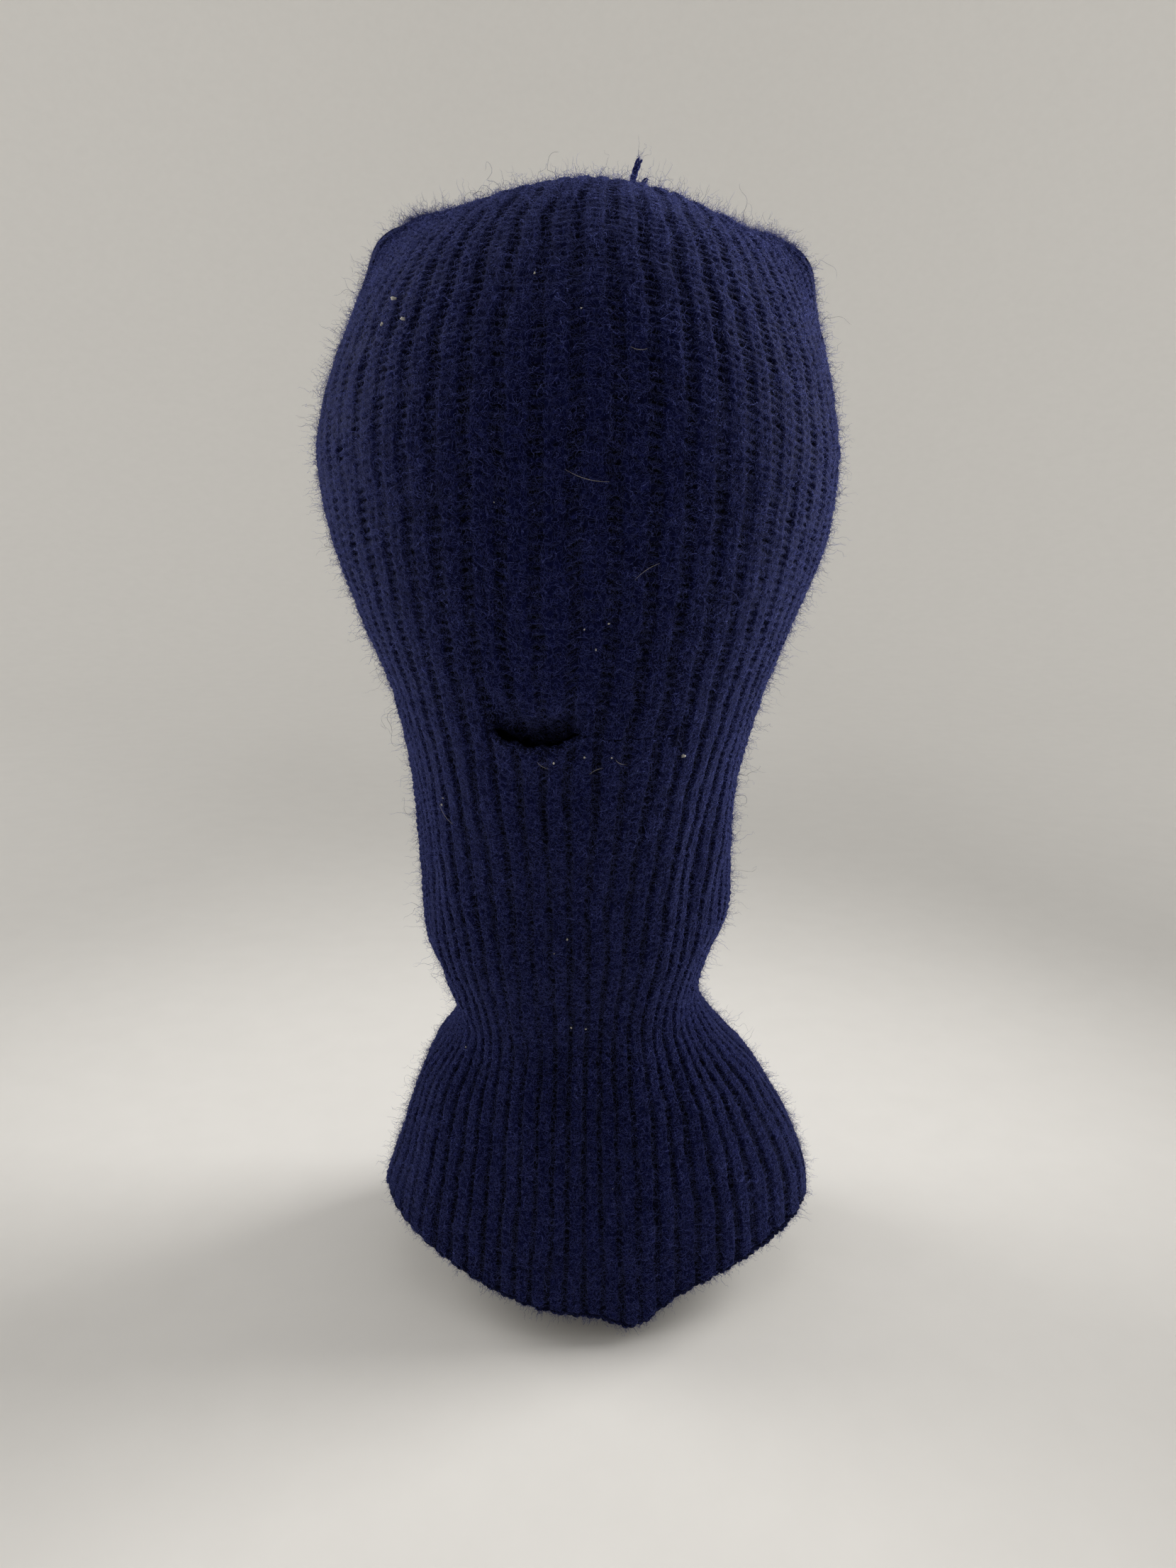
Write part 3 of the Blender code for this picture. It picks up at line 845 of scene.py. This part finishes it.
def spikes(
    feet, normals, heading, length, lift, lift_end, curl, radius, segments, wave, seed, kinks=1.3,
):
    """Thin tapering fibres, three-sided and closed, from feet on the surface.

    Each one sets off along heading, rising at the angle lift, and ends rising at lift_end. On the way
    it turns by curl and waves to and fro.
    """
    rng = np.random.default_rng(seed)
    count = len(feet)
    helper = unit(np.cross(normals, unit(rng.normal(size=(count, 3)))))
    other = np.cross(normals, helper)
    first = np.cos(heading)[:, None] * helper + np.sin(heading)[:, None] * other
    second = np.cross(normals, first)
    t = (np.arange(segments) + 0.5) / segments
    phase = rng.uniform(0, 2 * math.pi, (count, 1))
    turn = curl[:, None] * t + wave * np.sin(2 * math.pi * kinks * t + phase)
    rise = lift[:, None] + (lift_end - lift)[:, None] * t
    rise = rise + 0.5 * wave * np.cos(2 * math.pi * 1.3 * kinks * t + phase)
    step = (
        (np.cos(rise) * np.cos(turn))[..., None] * first[:, None]
        + (np.cos(rise) * np.sin(turn))[..., None] * second[:, None]
        + np.sin(rise)[..., None] * normals[:, None]
    )
    path = feet[:, None] + np.cumsum(step, axis=1) * (length / segments)[:, None, None]
    path = np.concatenate((feet[:, None], path), axis=1)
    reference = unit(rng.normal(size=(count, 3)))[:, None]
    a = unit(np.cross(step, reference))
    b = np.cross(step, a)
    angle = np.arange(3) * 2 * math.pi / 3
    taper = 1 - 0.62 * np.arange(segments) / segments
    ring = np.cos(angle)[:, None] * a[:, :, None] + np.sin(angle)[:, None] * b[:, :, None]
    ring = path[:, :-1, None] + ring * (radius[:, None] * taper)[:, :, None, None]
    each = 3 * segments + 1
    verts = np.concatenate((ring.reshape(count, 3 * segments, 3), path[:, -1:]), axis=1).reshape(-1, 3)
    quads, tris = [], [(2, 1, 0)]
    for s in range(segments - 1):
        for k in range(3):
            m = (k + 1) % 3
            quads.append((3 * s + k, 3 * s + m, 3 * s + 3 + m, 3 * s + 3 + k))
    last = 3 * (segments - 1)
    for k in range(3):
        tris.append((last + k, last + (k + 1) % 3, 3 * segments))
    base = (np.arange(count) * each)[:, None, None]
    quads = (base + np.array(quads)).reshape(-1, 4)
    tris = (base + np.array(tris)).reshape(-1, 3)
    return verts, [quads, tris]


FOOT_DEPTH = 0.0003
LARGEST_CELL = 6e-6


def scatter(surface, rows, count, seed, hollow):
    """Random feet on the stitches between two rows: even over the area, down to hollow in the holes."""
    rng = np.random.default_rng(seed)
    grid = surface["point"][rows]
    a, b, c = grid[:-1, :-1], grid[:-1, 1:], grid[1:, :-1]
    area = np.linalg.norm(np.cross(b - a, c - a), axis=2)
    level = surface["level"][rows][:-1, :-1]
    weight = area * (hollow * smoothstep(level, 0.0, 0.12) + (1 - hollow) * level**1.5)
    weight[area > LARGEST_CELL] = 0.0
    rate = np.cumsum(weight.ravel())
    chosen = np.searchsorted(rate, rng.uniform(0, rate[-1], count))
    i, j = np.divmod(chosen, area.shape[1])
    u, v = rng.uniform(size=(2, count, 1))
    points = a[i, j] + u * (b[i, j] - a[i, j]) + v * (c[i, j] - a[i, j])
    return points, surface["normal"][rows][i, j], rng


SHADES = {
    "dark": (0.0015, 0.0022, 0.018),
    "mid": (0.0046, 0.0064, 0.048),
    "light": (0.0150, 0.0200, 0.112),
    "pale": (0.066, 0.080, 0.280),
}
FIBRES = {shade: fibre_material("fibre_" + shade, colour) for shade, colour in SHADES.items()}


def make_nap(name, surface, rows, count, shade, slot, seed, size):
    """The short nap: curly fibres lying mostly along the surface."""
    feet, normals, rng = scatter(surface, rows, count, seed, 0.06)
    length = rng.gamma(8.0, 0.00040 * size, count).clip(0.0014, 0.0070)
    lift = rng.uniform(0.1, 1.1, count)
    verts, faces = spikes(
        feet - normals * FOOT_DEPTH, normals, rng.uniform(0, 2 * math.pi, count), length,
        lift, lift - rng.uniform(0.3, 1.5, count), rng.normal(0, 2.4, count),
        rng.uniform(0.000045, 0.00008, count), 5, 0.8, seed + 1,
    )
    return make_piece(name, verts, faces, FIBRES[shade], slot)


def make_halo(name, surface, rows, count, shade, slot, seed):
    """Longer fibres that stand off the fabric and show as fuzz round the outline."""
    feet, normals, rng = scatter(surface, rows, count, seed, 0.4)
    length = rng.gamma(4.5, 0.00105, count).clip(0.0022, 0.0115)
    lift = rng.uniform(0.3, 1.5, count)
    verts, faces = spikes(
        feet - normals * FOOT_DEPTH, normals, rng.uniform(0, 2 * math.pi, count), length,
        lift, lift - rng.uniform(-0.4, 2.2, count), rng.normal(0, 4.2, count),
        rng.uniform(0.00003, 0.00006, count), 7, 1.2, seed + 1, 2.0,
    )
    return make_piece(name, verts, faces, FIBRES[shade], slot)


HOOD = slice(0, UPPER_ROWS + 1)
BIB = slice(UPPER_ROWS + 1, UPPER_ROWS + LOWER_ROWS + 2)
NAP = (("dark", 2400), ("mid", 5600), ("light", 7000), ("pale", 4200))
# The halo uses only the two lightest fibre shades: painted light, standing in for light shining through
# fine fibres round the outline.
HALO = (("light", 4700), ("pale", 4700))
# Each area's share of the fibres, the nap's size there, and its first seed
AREAS = (("hood", HOOD, 1.0, 0.86, 1000), ("bib", BIB, 0.72, 0.78, 1500))
naps = {"front": [], "back": []}
for side, surface, later in (("front", front_surface, 0), ("back", back_surface, 5000)):
    slot = side + "_panel"
    for area, rows, share, size, first in AREAS:
        for number, (shade, count) in enumerate(NAP):
            name, seed = f"{side}_{area}_nap_{shade}", first + later + 37 * number
            piece = make_nap(name, surface, rows, round(count * share), shade, slot, seed, size)
            naps[side].append(piece)
        for number, (shade, count) in enumerate(HALO):
            name, seed = f"{side}_{area}_halo_{shade}", first + later + 200 + 37 * number
            piece = make_halo(name, surface, rows, round(count * share), shade, slot, seed)
            naps[side].append(piece)


def fibre_feet(lines, normals_from, count, seed):
    """Random feet along polylines and a little beside them, with normals fanned out round them."""
    rng = np.random.default_rng(seed)
    points = np.concatenate([spaced(line, 0.0004) for line in lines])
    chosen = rng.integers(0, len(points), count)
    normals = unit(normals_from(points[chosen]) + 0.55 * rng.normal(size=(count, 3)))
    beside = rng.normal(0, 0.0011, (count, 1)) * (0, 1, 0)
    return points[chosen] + beside, normals, rng


def away_from_axis(points):
    """Outwards from the tube's middle; over the crown it turns upwards, less so at the ears."""
    out = unit(points * (1.0, 1.0, 0.0))
    ear = smoothstep(np.abs(points[:, 0]), 0.042, 0.064)
    top = smoothstep(points[:, 2], -0.026, -0.006) * (1 - 0.7 * ear)
    out = out * (1 - 0.6 * top[:, None])
    out[:, 2] = top
    return unit(out)


def make_fringe(name, lines, count, slot, seed, long, direction):
    """Fuzz on a seam or edge, so that the yarn shows only through it."""
    feet, normals, rng = fibre_feet(lines, direction, count, seed)
    length = rng.gamma(5.0, long / 5.0, count).clip(0.0018, 0.0105)
    lift = rng.uniform(0.2, 1.5, count)
    verts, faces = spikes(
        feet + normals * 0.0002, normals, rng.uniform(0, 2 * math.pi, count), length,
        lift, lift - rng.uniform(-0.4, 2.2, count), rng.normal(0, 2.6, count),
        rng.uniform(0.000035, 0.000065, count), 8, 1.7, seed + 1, 2.5,
    )
    return make_piece(name, verts, faces, FIBRES["light"], slot)


def downwards(points):
    return unit(away_from_axis(points) + (0, 0, -0.8))


def upwards(points):
    return 0 * points + (0, 0, 1.6)


def every_way(points):
    return 0 * points


# Piece, lines, count, slot, seed, usual length and direction
FRINGES = (
    ("crown_left_fuzz", [crown_line(-RIGHT)], 5000, "crown_seam_left", 301, 0.0052, away_from_axis),
    ("crown_right_fuzz", [crown_line(RIGHT)], 5300, "crown_seam_right", 302, 0.0052, away_from_axis),
    ("side_left_fuzz", [side_line(-RIGHT)], 7000, "side_seam_left", 303, 0.0050, away_from_axis),
    ("side_right_fuzz", [side_line(RIGHT)], 7000, "side_seam_right", 304, 0.0050, away_from_axis),
    ("hem_front_fuzz", [hem_line(FRONT)], 2600, "hem_edge_front", 305, 0.0032, downwards),
    ("hem_back_fuzz", [hem_line(BACK)], 2600, "hem_edge_back", 306, 0.0032, downwards),
    ("tail_fuzz", TAIL, 220, "crown_yarn_tail", 307, 0.0022, every_way),
    ("tail_wisp", [TAIL[0][-3:]], 14, "crown_yarn_tail", 309, 0.0050, upwards),
    ("lip_fuzz", [LOWER_LIP_EDGE], 500, "slit_lower_edge", 308, 0.0026, away_from_axis),
)
for fringe in FRINGES:
    make_fringe(*fringe)

# ---------------- loose hairs and lint


def make_flyaways():
    """A few long curly fibres that have worked loose."""
    each, parts = 130, []
    for surface, seed in ((front_surface, 401), (back_surface, 402)):
        feet, normals, rng = scatter(surface, slice(0, None), each, seed, 1.0)
        lift = rng.uniform(0.4, 1.3, each)
        verts, faces = spikes(
            feet, normals, rng.uniform(0, 2 * math.pi, each), rng.uniform(0.009, 0.019, each),
            lift, lift - rng.uniform(0.6, 2.4, each), rng.normal(0, 4.0, each),
            rng.uniform(0.00004, 0.00007, each), 14, 1.1, seed + 1,
        )
        parts.append((verts, *faces))
    return make_piece("flyaway_fibres", *joined(parts), FIBRES["mid"], "front_panel")


make_flyaways()

# Lint specks on the front: angle and height on the panel, and size
LINT = (
    (-37.0, -0.0380, 0.00095), (-38.0, -0.0445, 0.00060), (-32.5, -0.0440, 0.00100),
    (-7.5, -0.0345, 0.00040), (0.5, -0.0435, 0.00035), (-12.5, -0.0880, 0.00040),
    (2.0, -0.1190, 0.00040), (6.0, -0.1175, 0.00035), (4.0, -0.1245, 0.00035),
    (-3.5, -0.1555, 0.00045), (2.5, -0.1540, 0.00050), (8.0, -0.1545, 0.00040),
    (25.5, -0.1555, 0.00085), (-36.0, -0.1725, 0.00040), (-37.0, -0.1750, 0.00060),
    (0.5, -0.2470, 0.00060), (6.0, -0.2475, 0.00055), (-1.0, -0.2140, 0.00040),
    (-5.0, -0.2190, 0.00040), (-52.0, -0.2650, 0.00040), (16.0, -0.3020, 0.00040),
)
# Pale hairs: angle, height, heading on the surface and length
HAIRS = (
    (2.0, -0.0815, 0.25, 0.0110), (9.5, -0.0525, 0.1, 0.0040), (12.0, -0.1040, -0.6, 0.0075),
    (-5.5, -0.1560, 0.6, 0.0035), (5.0, -0.1580, -0.5, 0.0040), (10.0, -0.1555, 0.5, 0.0035),
    (-35.0, -0.1775, 0.8, 0.0070),
)


def lint_material(name, colour):
    n = Nodes(name)
    place = n.add("ShaderNodeTexCoord").outputs["Object"]
    grain = n.noise(place, 2600.0, 2.0)
    low = tuple(0.7 * c for c in colour)
    return n.finish(n.ramp(grain, ((0.3, low), (0.7, colour))), 0.9, 0.0, grain, 0.0002)


def on_front(angle, height):
    """A point just over the front knit at this angle and height, and the way outwards there."""
    turn = math.radians(angle)
    column = int(round((turn + RIGHT) / math.pi * COLUMNS))
    heights = front_surface["point"][:, column, 2]
    row = int(np.argmin(np.abs(heights - height)))
    near = front_surface["point"][max(row - 3, 0):row + 4, max(column - 3, 0):column + 4].reshape(-1, 3)
    normal = front_surface["normal"][row, column]
    point = front_surface["point"][row, column]
    return point + normal * ((near - point) @ normal).max(), normal


def make_lint():
    """Small tangled specks: lumpy little balls, each one different."""
    rng = np.random.default_rng(51)
    verts, faces = [], []
    for angle, height, size in LINT:
        bm = bmesh.new()
        bmesh.ops.create_icosphere(bm, subdivisions=2, radius=1.0)
        centre, normal = on_front(angle, height)
        stretch = rng.uniform(0.55, 1.3, 3)
        swell = rng.normal(size=(5, 3))
        for vert in bm.verts:
            p = np.array(vert.co)
            lumps = 1 + 0.28 * np.sin(swell @ p * 2.2 + swell[:, 0] * 5).sum()
            vert.co = Vector(centre + normal * 0.0003 + p * stretch * size * 0.5 * max(lumps, 0.35))
        start = sum(len(v) for v in verts)
        verts.append(np.array([vert.co for vert in bm.verts]))
        faces.append(np.array([[vert.index for vert in face.verts] for face in bm.faces]) + start)
        bm.free()
    material = lint_material("pale_lint", (0.62, 0.60, 0.55))
    make_piece("lint_specks", np.concatenate(verts), [np.concatenate(faces)], material, "front_panel")


def make_hairs():
    """Pale hairs that lie on the knit in slow curves."""
    rng = np.random.default_rng(61)
    feet, normals = zip(*(on_front(angle, height) for angle, height, _, _ in HAIRS))
    feet, normals = np.array(feet), np.array(normals)
    strands = []
    for foot, normal, (_, _, heading, length) in zip(feet, normals, HAIRS):
        across = unit(np.cross((0, 0, 1), -normal))
        up = np.cross(across, -normal)
        t = np.linspace(-0.5, 0.5, 16)[:, None]
        bend = rng.uniform(-0.22, 0.22) + 0.35 * np.sign(heading + 0.01)
        line = math.cos(heading) * across - math.sin(heading) * up
        over = math.sin(heading) * across + math.cos(heading) * up
        path = foot + normal * 0.0006 + length * (line * t + over * bend * (0.25 - t * t))
        strands.append(tube(path, 0.00005 * (1 - 1.2 * np.abs(t[:, 0])), 5))
    verts, faces = joined(strand[:3] for strand in strands)
    make_piece("pale_hairs", verts, faces, lint_material("pale_hair", (0.50, 0.47, 0.42)), "front_panel")


make_lint()
make_hairs()

# ---------------- stage and light


def make_stage(floor):
    """A pale paper sweep: a flat floor that curves up into a wall all round."""
    flat, bend, steps = 1.2, 1.5, 24
    profile = [(0.0, 0.0), (0.6, 0.0), (flat, 0.0)]
    for k in range(1, steps + 1):
        turn = k / steps * math.pi / 2
        profile.append((flat + bend * math.sin(turn), bend * (1 - math.cos(turn))))
    profile.append((flat + bend, 3.2))
    count = 96
    turns = np.arange(count) / count * 2 * math.pi
    verts = [(0.0, 0.0, floor)]
    for radius, height in profile[1:]:
        for t in turns:
            verts.append((radius * math.cos(t), radius * math.sin(t), floor + height))
    faces = [(0, 1 + k, 1 + (k + 1) % count) for k in range(count)]
    for ring in range(len(profile) - 2):
        for k in range(count):
            a, b = 1 + ring * count + k, 1 + ring * count + (k + 1) % count
            faces.append((a, a + count, b + count, b))
    mesh = bpy.data.meshes.new("paper_sweep")
    mesh.from_pydata(verts, [], faces)
    mesh.shade_smooth()
    n = Nodes("paper")
    place = n.add("ShaderNodeTexCoord").outputs["Object"]
    grain = n.noise(place, 60.0, 4.0)
    colour = n.ramp(grain, ((0.3, (0.79, 0.775, 0.745)), (0.7, (0.805, 0.79, 0.76))))
    n.finish(colour, 0.9)
    mesh.materials.append(n.material)
    sweep = bpy.data.objects.new("paper_sweep", mesh)
    bpy.context.scene.collection.objects.link(sweep)
    sweep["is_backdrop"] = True


WARM_WHITE = (1.0, 0.985, 0.965)
COOL_WHITE = (0.97, 0.98, 1.0)
ROOM_STRENGTH = 0.28


def soft_light(name, place, aim, size, watts, spread=180):
    data = bpy.data.lights.new(name, "AREA")
    data.shape = "RECTANGLE"
    data.size, data.size_y = size
    data.energy = watts
    data.color = WARM_WHITE
    data.spread = math.radians(spread)
    light = bpy.data.objects.new(name, data)
    bpy.context.scene.collection.objects.link(light)
    light.location = place
    light.visible_camera = False
    light.rotation_euler = (Vector(aim) - Vector(place)).to_track_quat("-Z", "Y").to_euler()


def make_world():
    world = bpy.data.worlds.new("room")
    world.use_nodes = True
    background = world.node_tree.nodes["Background"]
    background.inputs["Color"].default_value = (*COOL_WHITE, 1.0)
    background.inputs["Strength"].default_value = ROOM_STRENGTH
    bpy.context.scene.world = world


make_stage(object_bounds()[0].z)
make_world()
soft_light("overhead", (0, 0.1, 1.3), (0, 0, -0.2), (1.4, 1.2), 2.2)
soft_light("right", (0.62, 0.22, 0.16), (0, 0, 0.10), (0.40, 0.45), 3.4, 100)
soft_light("left", (-0.62, 0.22, 0.16), (0, 0, 0.10), (0.40, 0.45), 1.7, 100)
for x, y in ((1, 0), (-1, 0), (0, 1), (0, -1)):
    soft_light("wall", (0.35 * x, 0.35 * y, 1.1), (2.7 * x, 2.7 * y, 1.0), (0.6, 0.5), 11.0)
bpy.context.scene.view_settings.view_transform = "Standard"
